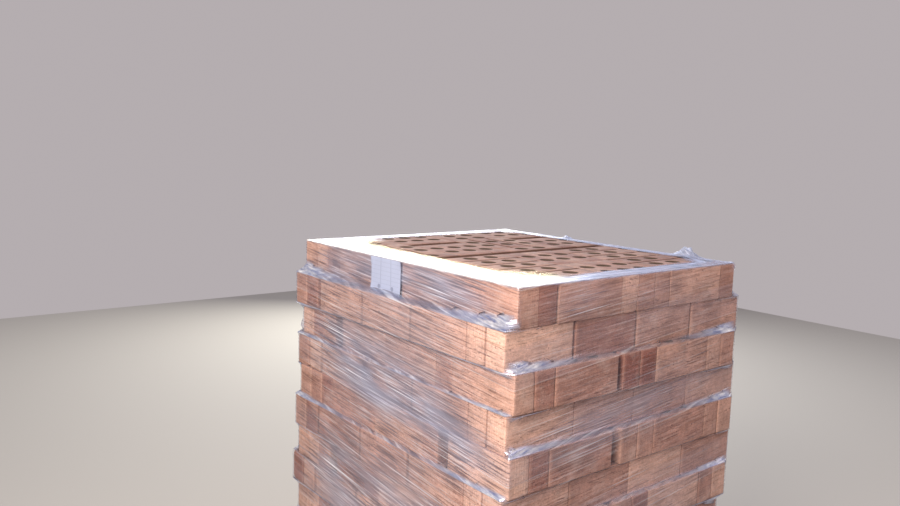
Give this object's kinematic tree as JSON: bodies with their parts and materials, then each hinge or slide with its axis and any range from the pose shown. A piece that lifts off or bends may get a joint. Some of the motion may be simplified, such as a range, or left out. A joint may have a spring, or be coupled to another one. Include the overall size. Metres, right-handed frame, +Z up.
{
  "type": "pallet of bricks",
  "caption": "Clay bricks laid in staggered courses on a slatted wooden pallet with fork pockets, held together by a skin of clear stretch film.",
  "frame": {"origin": "centre of the middle bearer's underside, on the floor", "axes": "+X along the bearers and fork pockets, +Y along the deck boards, +Z up"},
  "size_m": [0.958, 1.047, 1.294],
  "materials": {
    "brick": "matte",
    "deck_wood": "matte",
    "film": "gloss",
    "paper": "matte"
  },
  "bodies": {
    "root": {"brick_course_01": "brick", "brick_course_02": "brick", "brick_course_03": "brick", "brick_course_04": "brick", "brick_course_05": "brick", "brick_course_06": "brick", "brick_course_07": "brick", "brick_course_08": "brick", "brick_course_09": "brick", "brick_course_10": "brick", "brick_course_11": "brick", "brick_course_12": "brick", "deck_board_1": "deck_wood", "deck_board_2": "deck_wood", "deck_board_3": "deck_wood", "deck_board_4": "deck_wood", "deck_board_5": "deck_wood", "deck_board_6": "deck_wood", "deck_board_7": "deck_wood", "bearer_front": "deck_wood", "bearer_middle": "deck_wood", "bearer_back": "deck_wood", "stretch_film": "film", "paper_label": "paper"}
  },
  "joints": []
}
